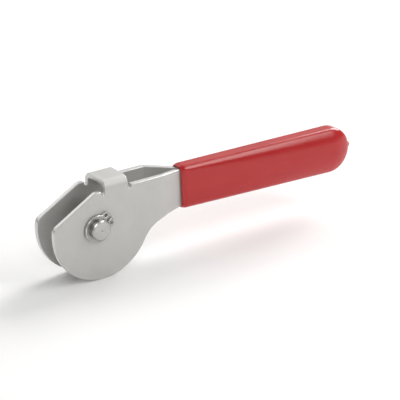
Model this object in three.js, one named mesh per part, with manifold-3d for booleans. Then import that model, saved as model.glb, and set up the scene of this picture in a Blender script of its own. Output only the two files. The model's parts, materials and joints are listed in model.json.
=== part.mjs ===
// Manual can opener: a one-hand tool with a folded stainless head, a small wheel on an axle pin
// between its two round plates, and a dip-moulded red grip.
//
// Millimetres, +Z up. +X runs from the head towards the grip, and the plates face -Y and +Y.
// The model is built about the centre of the round head and is then set down with the middle of
// its bounding box over the origin and its lowest point at z = 0.

import * as THREE from 'three';
import { mergeVertices } from 'three/addons/utils/BufferGeometryUtils.js';
import Module from 'manifold-3d';

const wasm = await Module();
wasm.setup();

// ---------------------------------------------------------------- driving dimensions

// folded head
const SHEET = 2.5; // thickness of the sheet
const SLOT_WIDTH = 12; // clear width between the two plates
const HEAD_RADIUS = 26;
const REGISTER_DISTANCE = 16.6; // straight front edge, measured from the centre of the head
const REGISTER_ANGLE = 119.8; // degrees from +X, the way the straight front edge faces
const TOP_EDGE = 17.1; // height of the plates' top edge above the centre of the head
const CHIN_FILLET = 3.5; // where the straight front edge runs into the round
const BROW_FILLET = 4; // where the straight front edge runs into the top edge
const NECK_FILLET = 15.5; // hollow between the round and the arm

// bridge tab and the relief notches beside it
const BRIDGE_START = 1.5;
const BRIDGE_LENGTH = 12.5;
const BRIDGE_TOP = 21.4;
const BRIDGE_BEND_RADIUS = 4; // outside of the bend
const NOTCH_WIDTH = 1.9;
const NOTCH_DEPTH = 1.9;

// arms and tang
const ARM_BEND_X = 32.3; // where the arms start to lean towards each other
const ARM_BEND_ANGLE = 22.6; // degrees
const ARM_BEND_RADIUS = 3; // inside of both bends
const ARM_UNDERSIDE = -3.8;
const LEAF_SLIT = 0.3; // between the two leaves of the tang
const TANG_TOP_AT_MOUTH = 14.9;
const TANG_TOP_AT_END = 13.6;
const TANG_BOTTOM_AT_END = -6.6;
const TANG_END_CENTRE_X = 136.9; // centre of the half-round end
const WELD_RADIUS = 2.5; // spot welds between the leaves
const WELD_INSET = 16; // from the grip's mouth and from the centre of the half-round end

// grip
const MOUTH_SETBACK = 0.25; // from where the arms meet to the grip's mouth
const GRIP_WALL = 1.2; // round the rim of the tang
const GRIP_SIDE_WALL = 2; // over the flat sides of the tang
const GRIP_CORNER_RADIUS = 2.6;
const NIB_RADIUS = 1.7;
const NIB_LENGTH = 2.4;

// axle pin and retaining rings
const PIN_X = -3; // the axle sits ahead of the centre of the head
const PIN_RADIUS = 5;
const PIN_STICK_OUT = 4.1; // past the outside of each plate
const PIN_CHAMFER = 0.7;
const CENTRE_MARK_RADIUS = 0.5;
const CENTRE_MARK_DEPTH = 0.4;
const GROOVE_DEPTH = 0.5;
const RING_THICKNESS = 1;
const RING_STAND_OFF = 0.4; // between a plate and its ring
const RING_WIDTH = 1.9; // of the ring's band, radially
const RING_ECCENTRICITY = 0.3; // makes the band wider opposite the gap
const RING_GAP = 1;
const RING_GAP_ANGLE = 34; // degrees from +X, the way the gap points
const LUG_REACH = 3.8; // from the ring's bore to the tip of a lug
const LUG_HOLE_RADIUS = 0.8;
const LUG_HOLE_REACH = 2.4; // from the ring's bore to the middle of a lug's hole
const LUG_HOLE_ANGLE = 22; // degrees, each side of the gap
const LUG_FILLET = 0.8;

// wheel, bushes and sleeves
const WHEEL_RADIUS = 10;
const WHEEL_WIDTH = 4;
const WHEEL_EDGE_LAND = 0.2; // flat left on the V edge
const WHEEL_BEVEL = 1.6; // height of the V edge
const BUSH_WALL = 1.2;
const FLANGE_REACH = 0.9; // past the barrel of the bush
const FLANGE_THICKNESS = 1;
const SLEEVE_WALL = 0.7;

// fits
const RUNNING_CLEARANCE = 0.1; // radial, pin to hole, pin to bush, ring to groove
const SEAT_GAP = 0.3; // between pieces that rest against each other

const ROUND_SEGMENTS = 72;
const ARC_DIVISIONS = 12;

// ---------------------------------------------------------------- worked-out dimensions

const SLOT_HALF = SLOT_WIDTH / 2;
const HEAD_HALF = SLOT_HALF + SHEET;
const LEAF_INNER = LEAF_SLIT / 2;
const TANG_HALF = LEAF_INNER + SHEET;
const HOLE_RADIUS = PIN_RADIUS + RUNNING_CLEARANCE;
const GROOVE_RADIUS = PIN_RADIUS - GROOVE_DEPTH;
const RING_INNER_RADIUS = GROOVE_RADIUS + RUNNING_CLEARANCE;
const RING_OUTER_RADIUS = RING_INNER_RADIUS + RING_WIDTH;
const LUG_RADIUS = RING_INNER_RADIUS + LUG_REACH;
const LUG_HOLE_CIRCLE = RING_INNER_RADIUS + LUG_HOLE_REACH;
const RING_START = HEAD_HALF + RING_STAND_OFF;
const PIN_HALF = HEAD_HALF + PIN_STICK_OUT;
const BUSH_OUTER_RADIUS = HOLE_RADIUS + BUSH_WALL;
const FLANGE_RADIUS = BUSH_OUTER_RADIUS + FLANGE_REACH;
const WHEEL_BORE_RADIUS = BUSH_OUTER_RADIUS + SEAT_GAP;
const FLANGE_START = WHEEL_WIDTH / 2 + SEAT_GAP;
const FLANGE_END = FLANGE_START + FLANGE_THICKNESS;

const rad = THREE.MathUtils.degToRad;

const ARM_RUN = (SLOT_HALF - LEAF_INNER) / Math.tan(rad(ARM_BEND_ANGLE));
const ARM_END_X = ARM_BEND_X + ARM_RUN; // where the arms have met
const GRIP_MOUTH_X = ARM_END_X + MOUTH_SETBACK;

// ---------------------------------------------------------------- solids and booleans

function solidOf(geometry) {
  const bare = geometry.clone();
  bare.deleteAttribute('normal');
  bare.deleteAttribute('uv');
  const merged = mergeVertices(bare, 1e-4);
  return new wasm.Manifold(new wasm.Mesh({
    numProp: 3,
    vertProperties: new Float32Array(merged.attributes.position.array),
    triVerts: new Uint32Array(merged.index.array),
  }));
}

function geometryOf(solid) {
  const mesh = solid.getMesh();
  const geometry = new THREE.BufferGeometry();
  geometry.setAttribute('position', new THREE.BufferAttribute(mesh.vertProperties, 3));
  geometry.setIndex(new THREE.BufferAttribute(mesh.triVerts, 1));
  geometry.computeVertexNormals();
  return geometry;
}

// An outline drawn in X and Z, given a thickness along Y from y0 to y1.
function plateAlongY(shape, y0, y1, options = {}) {
  const geometry = new THREE.ExtrudeGeometry(shape, {
    depth: y1 - y0,
    bevelEnabled: false,
    curveSegments: ARC_DIVISIONS,
    ...options,
  });
  geometry.rotateX(Math.PI / 2);
  geometry.translate(0, y1, 0);
  return geometry;
}

// A profile drawn in X and Y, given a height along Z from z0 to z1.
function wallAlongZ(shape, z0, z1) {
  const geometry = new THREE.ExtrudeGeometry(shape, {
    depth: z1 - z0,
    bevelEnabled: false,
    curveSegments: ARC_DIVISIONS,
  });
  geometry.translate(0, 0, z0);
  return geometry;
}

// A section drawn in Y and Z, given a length along X from x0 to x1.
function barAlongX(shape, x0, x1) {
  const geometry = new THREE.ExtrudeGeometry(shape, {
    depth: x1 - x0,
    bevelEnabled: false,
    curveSegments: ARC_DIVISIONS,
  });
  geometry.rotateX(Math.PI / 2);
  geometry.rotateZ(Math.PI / 2);
  geometry.translate(x0, 0, 0);
  return geometry;
}

// A round piece about the Y axis from a closed list of [radius, y] corners.
function turned(corners) {
  const points = corners.map(([radius, y]) => new THREE.Vector2(radius, y));
  points.push(points[0].clone());
  return new THREE.LatheGeometry(points, ROUND_SEGMENTS);
}

// A closed outline through corners [a, b, fillet]; a corner with no fillet stays sharp.
function roundedOutline(corners) {
  const points = [];
  const count = corners.length;
  for (let i = 0; i < count; i += 1) {
    const corner = new THREE.Vector2(corners[i][0], corners[i][1]);
    const fillet = corners[i][2] ?? 0;
    if (fillet === 0) {
      points.push(corner);
      continue;
    }
    const before = corners[(i + count - 1) % count];
    const after = corners[(i + 1) % count];
    const toBefore = new THREE.Vector2(before[0], before[1]).sub(corner).normalize();
    const toAfter = new THREE.Vector2(after[0], after[1]).sub(corner).normalize();
    const half = Math.acos(THREE.MathUtils.clamp(toBefore.dot(toAfter), -1, 1)) / 2;
    const bisector = toBefore.clone().add(toAfter).normalize();
    const centre = corner.clone().addScaledVector(bisector, fillet / Math.sin(half));
    const tangent = fillet / Math.tan(half);
    const start = corner.clone().addScaledVector(toBefore, tangent).sub(centre).angle();
    const end = corner.clone().addScaledVector(toAfter, tangent).sub(centre).angle();
    points.push(...arcPoints(centre.x, centre.y, fillet, start, end));
  }
  return new THREE.Shape(points);
}

// Points on the shorter arc between two angles.
function arcPoints(x, y, radius, start, end) {
  const turn = THREE.MathUtils.euclideanModulo(end - start + Math.PI, 2 * Math.PI) - Math.PI;
  const steps = Math.max(2, Math.ceil((Math.abs(turn) / (Math.PI / 2)) * ARC_DIVISIONS));
  const points = [];
  for (let i = 0; i <= steps; i += 1) {
    const angle = start + (turn * i) / steps;
    points.push(new THREE.Vector2(x + radius * Math.cos(angle), y + radius * Math.sin(angle)));
  }
  return points;
}

// ---------------------------------------------------------------- outline of one plate

// Where the straight front edge, at a given height, lies along X.
function registerXAt(z) {
  const angle = rad(REGISTER_ANGLE);
  return (REGISTER_DISTANCE - z * Math.sin(angle)) / Math.cos(angle);
}

// The round of the head from the chin, under the bottom, to the neck and its hollow fillet.
function headRound() {
  // chin: a circle inside the round, tangent to it and to the straight front edge
  const chinReach = HEAD_RADIUS - CHIN_FILLET;
  const chinAngle = rad(REGISTER_ANGLE) + Math.acos((REGISTER_DISTANCE - CHIN_FILLET) / chinReach);
  const chinX = chinReach * Math.cos(chinAngle);
  const chinZ = chinReach * Math.sin(chinAngle);
  // neck: a circle outside the round, tangent to it and to the underside of the arm
  const neckZ = ARM_UNDERSIDE - NECK_FILLET;
  const neckX = Math.sqrt((HEAD_RADIUS + NECK_FILLET) ** 2 - neckZ ** 2);
  const neckAngle = Math.atan2(neckZ, neckX);
  const steps = ROUND_SEGMENTS;
  const sweep = 2 * Math.PI + neckAngle - chinAngle;
  const round = [];
  for (let i = 1; i < steps; i += 1) {
    const angle = chinAngle + (sweep * i) / steps;
    round.push(new THREE.Vector2(HEAD_RADIUS * Math.cos(angle), HEAD_RADIUS * Math.sin(angle)));
  }
  return [
    ...arcPoints(chinX, chinZ, CHIN_FILLET, rad(REGISTER_ANGLE), chinAngle),
    ...round,
    ...arcPoints(neckX, neckZ, NECK_FILLET, neckAngle + Math.PI, Math.PI / 2),
  ];
}

// Half-round end of the tang or, grown by a wall, of the grip.
function endRound(growth) {
  const top = TANG_TOP_AT_END + growth;
  const bottom = TANG_BOTTOM_AT_END - growth;
  const radius = (top - bottom) / 2;
  const centreZ = (top + bottom) / 2;
  const points = [];
  for (let i = 0; i <= 2 * ARC_DIVISIONS; i += 1) {
    const angle = -Math.PI / 2 + (Math.PI * i) / (2 * ARC_DIVISIONS);
    points.push(new THREE.Vector2(
      TANG_END_CENTRE_X + radius * Math.cos(angle),
      centreZ + radius * Math.sin(angle),
    ));
  }
  return points;
}

function notch(leftX) {
  const floor = TOP_EDGE - NOTCH_DEPTH;
  const radius = NOTCH_WIDTH / 2;
  const centreX = leftX + radius;
  const rightX = leftX + NOTCH_WIDTH;
  const bottom = [];
  for (let i = 0; i <= ARC_DIVISIONS; i += 1) {
    const angle = -(Math.PI * i) / ARC_DIVISIONS;
    bottom.push(new THREE.Vector2(
      centreX + radius * Math.cos(angle),
      floor + radius + radius * Math.sin(angle),
    ));
  }
  return [new THREE.Vector2(rightX, TOP_EDGE), ...bottom, new THREE.Vector2(leftX, TOP_EDGE)];
}

function leafOutline() {
  const browStart = registerXAt(TOP_EDGE);
  const browAngle = rad(REGISTER_ANGLE);
  const browTangent = BROW_FILLET * Math.tan((browAngle - Math.PI / 2) / 2);
  const browCentre = new THREE.Vector2(browStart + browTangent, TOP_EDGE - BROW_FILLET);
  return new THREE.Shape([
    ...headRound(),
    new THREE.Vector2(ARM_END_X, ARM_UNDERSIDE),
    ...endRound(0),
    new THREE.Vector2(ARM_END_X, TANG_TOP_AT_MOUTH),
    new THREE.Vector2(ARM_BEND_X, TOP_EDGE),
    ...notch(BRIDGE_START + BRIDGE_LENGTH),
    ...notch(BRIDGE_START - NOTCH_WIDTH),
    ...arcPoints(browCentre.x, browCentre.y, BROW_FILLET, Math.PI / 2, browAngle),
  ]);
}

// ---------------------------------------------------------------- head yoke

// The way one leaf bends, seen from above: straight plate, leaning arm, straight tang.
function leafBends(side) {
  const angle = rad(ARM_BEND_ANGLE);
  const far = TANG_END_CENTRE_X + HEAD_RADIUS;
  const outerShift = SHEET * Math.tan(angle / 2);
  const inner = [
    [-2 * HEAD_RADIUS, SLOT_HALF, 0],
    [ARM_BEND_X, SLOT_HALF, ARM_BEND_RADIUS],
    [ARM_END_X, LEAF_INNER, ARM_BEND_RADIUS + SHEET],
    [far, LEAF_INNER, 0],
  ];
  const outer = [
    [far, TANG_HALF, 0],
    [ARM_END_X + outerShift, TANG_HALF, ARM_BEND_RADIUS],
    [ARM_BEND_X + outerShift, HEAD_HALF, ARM_BEND_RADIUS + SHEET],
    [-2 * HEAD_RADIUS, HEAD_HALF, 0],
  ];
  return roundedOutline([...inner, ...outer].map(([x, y, fillet]) => [x, side * y, fillet]));
}

function bridge() {
  const innerBend = BRIDGE_BEND_RADIUS - SHEET;
  const root = TOP_EDGE - 2 * SHEET;
  const section = roundedOutline([
    [-HEAD_HALF, root],
    [-SLOT_HALF, root],
    [-SLOT_HALF, BRIDGE_TOP - SHEET, innerBend],
    [SLOT_HALF, BRIDGE_TOP - SHEET, innerBend],
    [SLOT_HALF, root],
    [HEAD_HALF, root],
    [HEAD_HALF, BRIDGE_TOP, BRIDGE_BEND_RADIUS],
    [-HEAD_HALF, BRIDGE_TOP, BRIDGE_BEND_RADIUS],
  ]);
  return solidOf(barAlongX(section, BRIDGE_START, BRIDGE_START + BRIDGE_LENGTH));
}

function spotWeld(x) {
  const weld = turned([
    [0, -TANG_HALF / 2],
    [WELD_RADIUS, -TANG_HALF / 2],
    [WELD_RADIUS, TANG_HALF / 2],
    [0, TANG_HALF / 2],
  ]);
  weld.translate(x, 0, (TANG_TOP_AT_END + TANG_BOTTOM_AT_END) / 2);
  return solidOf(weld);
}

function headYoke() {
  const plates = solidOf(plateAlongY(leafOutline(), -2 * HEAD_HALF, 2 * HEAD_HALF));
  const hole = turned([
    [0, -2 * HEAD_HALF],
    [HOLE_RADIUS, -2 * HEAD_HALF],
    [HOLE_RADIUS, 2 * HEAD_HALF],
    [0, 2 * HEAD_HALF],
  ]);
  hole.translate(PIN_X, 0, 0);
  let yoke = bridge();
  for (const side of [-1, 1]) {
    const bends = solidOf(wallAlongZ(leafBends(side), -2 * HEAD_RADIUS, 2 * HEAD_RADIUS));
    yoke = yoke.add(plates.intersect(bends));
  }
  for (const x of [GRIP_MOUTH_X + WELD_INSET, TANG_END_CENTRE_X - WELD_INSET]) {
    yoke = yoke.add(spotWeld(x));
  }
  return geometryOf(yoke.subtract(solidOf(hole)));
}

// ---------------------------------------------------------------- grip

// The tang's outline grown by a margin, from x onwards.
function sleeveOutline(growth, x) {
  const run = TANG_END_CENTRE_X - ARM_END_X;
  const share = (x - ARM_END_X) / run;
  const top = THREE.MathUtils.lerp(TANG_TOP_AT_MOUTH, TANG_TOP_AT_END, share) + growth;
  const bottom = THREE.MathUtils.lerp(ARM_UNDERSIDE, TANG_BOTTOM_AT_END, share) - growth;
  return new THREE.Shape([
    new THREE.Vector2(x, bottom),
    ...endRound(growth),
    new THREE.Vector2(x, top),
  ]);
}

function handleGrip() {
  const cavityGrowth = SEAT_GAP;
  const bodyGrowth = SEAT_GAP + GRIP_WALL;
  const cavityHalf = TANG_HALF + SEAT_GAP;
  const bodyHalf = cavityHalf + GRIP_SIDE_WALL;
  const corner = GRIP_CORNER_RADIUS;
  const outline = sleeveOutline(bodyGrowth - corner, GRIP_MOUTH_X - corner);
  const body = solidOf(plateAlongY(outline, corner - bodyHalf, bodyHalf - corner, {
    bevelEnabled: true,
    bevelThickness: corner,
    bevelSize: corner,
    bevelSegments: 5,
  }));
  const mouthCut = new THREE.BoxGeometry(HEAD_RADIUS, 4 * HEAD_HALF, 4 * HEAD_RADIUS);
  mouthCut.translate(GRIP_MOUTH_X - HEAD_RADIUS / 2, 0, 0);
  const cavity = plateAlongY(
    sleeveOutline(cavityGrowth, GRIP_MOUTH_X - HEAD_RADIUS / 2),
    -cavityHalf,
    cavityHalf,
  );
  const gripEndX = TANG_END_CENTRE_X + (TANG_TOP_AT_END - TANG_BOTTOM_AT_END) / 2 + bodyGrowth;
  const nib = new THREE.SphereGeometry(NIB_RADIUS, 20, 12);
  nib.scale(NIB_LENGTH / NIB_RADIUS, 1, 1);
  nib.translate(gripEndX, 0, (TANG_TOP_AT_END + TANG_BOTTOM_AT_END) / 2);
  const solid = body.add(solidOf(nib)).subtract(solidOf(cavity)).subtract(solidOf(mouthCut));
  return geometryOf(solid);
}

// ---------------------------------------------------------------- axle pin and rings

function axlePin() {
  const grooveIn = RING_START - RUNNING_CLEARANCE;
  const grooveOut = RING_START + RING_THICKNESS + RUNNING_CLEARANCE;
  const half = [
    [PIN_RADIUS, grooveIn],
    [GROOVE_RADIUS, grooveIn],
    [GROOVE_RADIUS, grooveOut],
    [PIN_RADIUS, grooveOut],
    [PIN_RADIUS, PIN_HALF - PIN_CHAMFER],
    [PIN_RADIUS - PIN_CHAMFER, PIN_HALF],
    [CENTRE_MARK_RADIUS, PIN_HALF],
  ];
  const mirrored = half.map(([radius, y]) => [radius, -y]).reverse();
  const mark = PIN_HALF - CENTRE_MARK_DEPTH;
  return turned([[0, -mark], ...mirrored, ...half, [0, mark]]);
}

// One lug, on the side of the gap that the sign gives, with the gap pointing along +X.
function lug(sign) {
  const corners = [
    [RING_INNER_RADIUS + RING_GAP / 2, 0, 0],
    [LUG_RADIUS, 2, 0],
    [LUG_RADIUS, LUG_HOLE_ANGLE / 2, 0],
    [LUG_RADIUS, LUG_HOLE_ANGLE + 6, LUG_FILLET],
    [RING_OUTER_RADIUS - RING_ECCENTRICITY, LUG_HOLE_ANGLE + 18, 0],
    [RING_INNER_RADIUS + RING_GAP / 2, LUG_HOLE_ANGLE + 18, 0],
  ];
  return roundedOutline(corners.map(([radius, degrees, fillet]) => [
    radius * Math.cos(rad(degrees)),
    sign * radius * Math.sin(rad(degrees)),
    fillet,
  ]));
}

function discAlongY(x, z, radius, y0, y1) {
  const disc = turned([[0, y0], [radius, y0], [radius, y1], [0, y1]]);
  disc.translate(x, 0, z);
  return solidOf(disc);
}

function retainingRing() {
  const half = RING_THICKNESS / 2;
  const cut = RING_THICKNESS;
  let ring = discAlongY(-RING_ECCENTRICITY, 0, RING_OUTER_RADIUS, -half, half);
  for (const sign of [-1, 1]) {
    ring = ring.add(solidOf(plateAlongY(lug(sign), -half, half)));
  }
  const gap = new THREE.BoxGeometry(2 * LUG_RADIUS, 2 * cut, RING_GAP);
  gap.translate(LUG_RADIUS, 0, 0);
  ring = ring.subtract(solidOf(gap));
  ring = ring.subtract(discAlongY(0, 0, RING_INNER_RADIUS, -cut, cut));
  for (const sign of [-1, 1]) {
    const x = LUG_HOLE_CIRCLE * Math.cos(rad(LUG_HOLE_ANGLE));
    const z = sign * LUG_HOLE_CIRCLE * Math.sin(rad(LUG_HOLE_ANGLE));
    ring = ring.subtract(discAlongY(x, z, LUG_HOLE_RADIUS, -cut, cut));
  }
  return geometryOf(ring);
}

// ---------------------------------------------------------------- wheel, bushes and sleeves

function cutterWheel() {
  const flank = WHEEL_WIDTH / 2;
  const land = WHEEL_EDGE_LAND / 2;
  const shoulder = WHEEL_RADIUS - WHEEL_BEVEL;
  return turned([
    [WHEEL_BORE_RADIUS, -flank],
    [shoulder, -flank],
    [WHEEL_RADIUS, -land],
    [WHEEL_RADIUS, land],
    [shoulder, flank],
    [WHEEL_BORE_RADIUS, flank],
  ]);
}

function wheelBush() {
  return turned([
    [HOLE_RADIUS, SEAT_GAP / 2],
    [BUSH_OUTER_RADIUS, SEAT_GAP / 2],
    [BUSH_OUTER_RADIUS, FLANGE_START],
    [FLANGE_RADIUS, FLANGE_START],
    [FLANGE_RADIUS, FLANGE_END],
    [HOLE_RADIUS, FLANGE_END],
  ]);
}

function spacerSleeve() {
  const start = FLANGE_END + SEAT_GAP;
  const end = SLOT_HALF - SEAT_GAP;
  return turned([
    [HOLE_RADIUS, start],
    [HOLE_RADIUS + SLEEVE_WALL, start],
    [HOLE_RADIUS + SLEEVE_WALL, end],
    [HOLE_RADIUS, end],
  ]);
}

// ---------------------------------------------------------------- materials

const satinSteel = () => new THREE.MeshStandardMaterial({ color: 0xb4b3ae, roughness: 0.42, metalness: 1 });
const turnedSteel = () => new THREE.MeshStandardMaterial({ color: 0xbdbcb8, roughness: 0.3, metalness: 1 });
const springSteel = () => new THREE.MeshStandardMaterial({ color: 0x6d6c69, roughness: 0.38, metalness: 1 });
const toolSteel = () => new THREE.MeshStandardMaterial({ color: 0x8e8f90, roughness: 0.28, metalness: 1 });
const bronze = () => new THREE.MeshStandardMaterial({ color: 0xb08a55, roughness: 0.45, metalness: 1 });
const redVinyl = () => new THREE.MeshStandardMaterial({ color: 0xb2302f, roughness: 0.38, metalness: 0 });

function piece(name, geometry, material) {
  const mesh = new THREE.Mesh(geometry, material);
  mesh.name = name;
  return mesh;
}

// ---------------------------------------------------------------- assembly

const frame = new THREE.Group();
frame.add(piece('head_yoke', headYoke(), satinSteel()));
frame.add(piece('handle_grip', handleGrip(), redVinyl()));

const axle = new THREE.Group();
axle.position.x = PIN_X;
axle.add(piece('axle_pin', axlePin(), turnedSteel()));

const wheel = new THREE.Group();
wheel.add(piece('cutter_wheel', cutterWheel(), toolSteel()));
axle.add(wheel);

for (const [end, side] of [['front', -1], ['rear', 1]]) {
  const ring = piece(`retaining_ring_${end}`, retainingRing(), springSteel());
  ring.position.y = side * (RING_START + RING_THICKNESS / 2);
  ring.rotation.y = -rad(RING_GAP_ANGLE);
  axle.add(ring);

  const sleeve = piece(`spacer_sleeve_${end}`, spacerSleeve(), turnedSteel());
  sleeve.rotation.x = side < 0 ? Math.PI : 0;
  axle.add(sleeve);

  const bush = piece(`wheel_bush_${end}`, wheelBush(), bronze());
  bush.rotation.x = side < 0 ? Math.PI : 0;
  wheel.add(bush);
}

const tool = new THREE.Group();
tool.add(frame, axle);

// set the tool down over the origin
const box = new THREE.Box3().setFromObject(tool);
const middle = box.getCenter(new THREE.Vector3());
tool.position.set(-middle.x, -middle.y, -box.min.z);

const canOpener = new THREE.Group();
canOpener.add(tool);

export default canOpener;
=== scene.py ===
"""A manual can opener: a folded stainless head, a small wheel on a turned axle and a dipped red grip.

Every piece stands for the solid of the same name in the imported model, and together they lie inside the
model's box. Shapes are worked out in millimetres about the middle of the round head and are set down in
the model's frame by one shift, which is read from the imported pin.
"""

from __future__ import annotations

import json
import logging
import math
from collections.abc import Callable
from dataclasses import dataclass, field
from enum import Enum

import bmesh
import bpy
import numpy as np
from mathutils import Matrix, Vector
from mathutils.geometry import delaunay_2d_cdt

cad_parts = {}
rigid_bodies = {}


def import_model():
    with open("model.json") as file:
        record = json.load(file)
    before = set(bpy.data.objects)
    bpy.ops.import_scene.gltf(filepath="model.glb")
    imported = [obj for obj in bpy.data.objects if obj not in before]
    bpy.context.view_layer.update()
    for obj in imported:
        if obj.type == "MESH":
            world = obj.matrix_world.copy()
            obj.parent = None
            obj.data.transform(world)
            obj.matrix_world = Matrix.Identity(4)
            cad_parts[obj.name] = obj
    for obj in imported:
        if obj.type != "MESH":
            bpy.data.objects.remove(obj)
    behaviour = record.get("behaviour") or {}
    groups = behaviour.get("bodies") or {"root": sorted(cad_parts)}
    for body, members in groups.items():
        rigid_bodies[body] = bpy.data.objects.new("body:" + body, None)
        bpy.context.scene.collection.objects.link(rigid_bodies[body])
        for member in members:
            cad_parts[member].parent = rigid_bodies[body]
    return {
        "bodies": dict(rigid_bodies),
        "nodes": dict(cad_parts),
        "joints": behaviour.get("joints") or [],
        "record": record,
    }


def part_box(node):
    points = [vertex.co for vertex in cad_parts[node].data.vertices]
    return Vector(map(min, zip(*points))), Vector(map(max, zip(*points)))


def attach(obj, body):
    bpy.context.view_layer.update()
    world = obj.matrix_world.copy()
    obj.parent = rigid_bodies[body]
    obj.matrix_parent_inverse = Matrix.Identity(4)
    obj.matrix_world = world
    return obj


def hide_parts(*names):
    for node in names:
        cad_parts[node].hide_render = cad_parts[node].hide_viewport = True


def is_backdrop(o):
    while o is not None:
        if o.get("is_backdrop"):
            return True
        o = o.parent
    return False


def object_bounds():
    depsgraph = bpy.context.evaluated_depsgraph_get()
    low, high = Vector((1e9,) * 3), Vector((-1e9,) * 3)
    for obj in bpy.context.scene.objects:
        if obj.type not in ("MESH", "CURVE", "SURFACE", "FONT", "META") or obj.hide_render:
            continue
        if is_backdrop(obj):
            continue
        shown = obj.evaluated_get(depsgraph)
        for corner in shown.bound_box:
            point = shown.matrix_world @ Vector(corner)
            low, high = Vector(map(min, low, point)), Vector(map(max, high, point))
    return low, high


LOG = logging.getLogger("can_opener")
MM = 0.001

Array = np.ndarray
Colour = tuple[float, float, float]
Corner = tuple[float, float, float]
Fold = Callable[[Array], Array]
Place = tuple[float, float, float]
Piece = bpy.types.Object
Node = bpy.types.Node
Socket = bpy.types.NodeSocket
Inputs = dict[str | int, object]
Pair = tuple[float, float]
WARM_WHITE: Colour = (1.0, 0.993, 0.972)
MERGE_WITHIN = 2e-6
UNROLLED = 10.0  # millimetres of surface to one unit of its unrolled map


# ---- outlines


def arc(centre: Pair, radius: float, start: float, end: float, pitch: float = 4.0) -> Array:
    """Points round part of a circle.

    Formula: centre + radius (cos a, sin a), with a in even steps.

    Args:
        centre: middle of the circle.
        radius: its radius.
        start: first angle, in degrees.
        end: last angle, smaller than start for a clockwise arc.
        pitch: most degrees in one step.

    Returns:
        One point per row.
    """
    steps = max(2, math.ceil(abs(end - start) / pitch))
    a = np.radians(np.linspace(start, end, steps + 1))
    return np.stack([centre[0] + radius * np.cos(a), centre[1] + radius * np.sin(a)], axis=1)


def polar(radius: float, degrees: float) -> Pair:
    """The point at a radius and an angle."""
    return (radius * math.cos(math.radians(degrees)), radius * math.sin(math.radians(degrees)))


def rounded_path(corners: list[Corner], closed: bool = False) -> Array:
    """A path through corners, each turned by an arc of its own radius.

    Formula: the arc's centre lies on the corner's bisector, radius / sin(half angle) away.

    Args:
        corners: (x, z, radius) of each corner; 0 leaves it sharp.
        closed: whether the last corner runs on to the first.

    Returns:
        One point per row.
    """
    count = len(corners)
    runs = []
    for i, (x, z, radius) in enumerate(corners):
        here = np.array([x, z])
        at_end = not closed and i in (0, count - 1)
        if radius == 0 or at_end:
            runs.append(here[None])
            continue
        back = np.array(corners[i - 1][:2]) - here
        on = np.array(corners[(i + 1) % count][:2]) - here
        back, on = back / np.linalg.norm(back), on / np.linalg.norm(on)
        half = math.acos(float(np.clip(back @ on, -1, 1))) / 2
        bisector = (back + on) / np.linalg.norm(back + on)
        centre = here + bisector * radius / math.sin(half)
        first = here + back * radius / math.tan(half) - centre
        last = here + on * radius / math.tan(half) - centre
        start = math.degrees(math.atan2(first[1], first[0]))
        turn = (math.degrees(math.atan2(last[1], last[0])) - start + 180) % 360 - 180
        runs.append(arc(tuple(centre), radius, start, start + turn, 9.0))
    return np.concatenate(runs)


def left_normals(loop: Array) -> Array:
    """How far each point of a closed outline moves when the outline is inset by one unit.

    Formula: (a + b) / (1 + a.b), with a and b the unit normals left of the sides before and after.

    Args:
        loop: the outline.

    Returns:
        One move per point.
    """
    side = np.roll(loop, -1, axis=0) - loop
    side /= np.linalg.norm(side, axis=1, keepdims=True)
    after = np.stack([-side[:, 1], side[:, 0]], axis=1)
    before = np.roll(after, 1, axis=0)
    return (before + after) / (1 + np.sum(before * after, axis=1, keepdims=True))


def thinned(loop: Array, gap: float = 1e-3) -> Array:
    """A closed outline without the points that lie on top of the one before."""
    step = np.linalg.norm(loop - np.roll(loop, 1, axis=0), axis=1)
    return loop[step > gap]


def inside(points: Array, loops: list[Array]) -> Array:
    """Which points lie inside an outline with holes.

    Formula: a ray along the first axis crosses the outlines' sides an odd number of times.

    Args:
        points: (n, 2) places.
        loops: the outline and its holes.

    Returns:
        (n,) true where inside.
    """
    odd = np.zeros(len(points), bool)
    for loop in loops:
        a, b = loop[None], np.roll(loop, -1, axis=0)[None]
        p = points[:, None]
        spans = (a[..., 1] > p[..., 1]) != (b[..., 1] > p[..., 1])
        rise = np.where(a[..., 1] == b[..., 1], 1.0, b[..., 1] - a[..., 1])
        cross = a[..., 0] + (p[..., 1] - a[..., 1]) / rise * (b[..., 0] - a[..., 0])
        odd ^= (spans & (p[..., 0] < cross)).sum(axis=1) % 2 == 1
    return odd


# ---- meshes


def linked(name: str, data: bpy.types.ID) -> Piece:
    """Makes an object and puts it in the scene.

    Args:
        name: its name.
        data: its mesh, light or camera.

    Returns:
        The object.
    """
    made = bpy.data.objects.new(name, data)
    bpy.context.scene.collection.objects.link(made)
    return made


def quads(grid: Array) -> Array:
    """The four corners of every cell of a grid, cell after cell."""
    corners = np.stack([grid[:-1, :-1], grid[1:, :-1], grid[1:, 1:], grid[:-1, 1:]], axis=2)
    return corners.reshape(-1, *corners.shape[2:])


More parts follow.
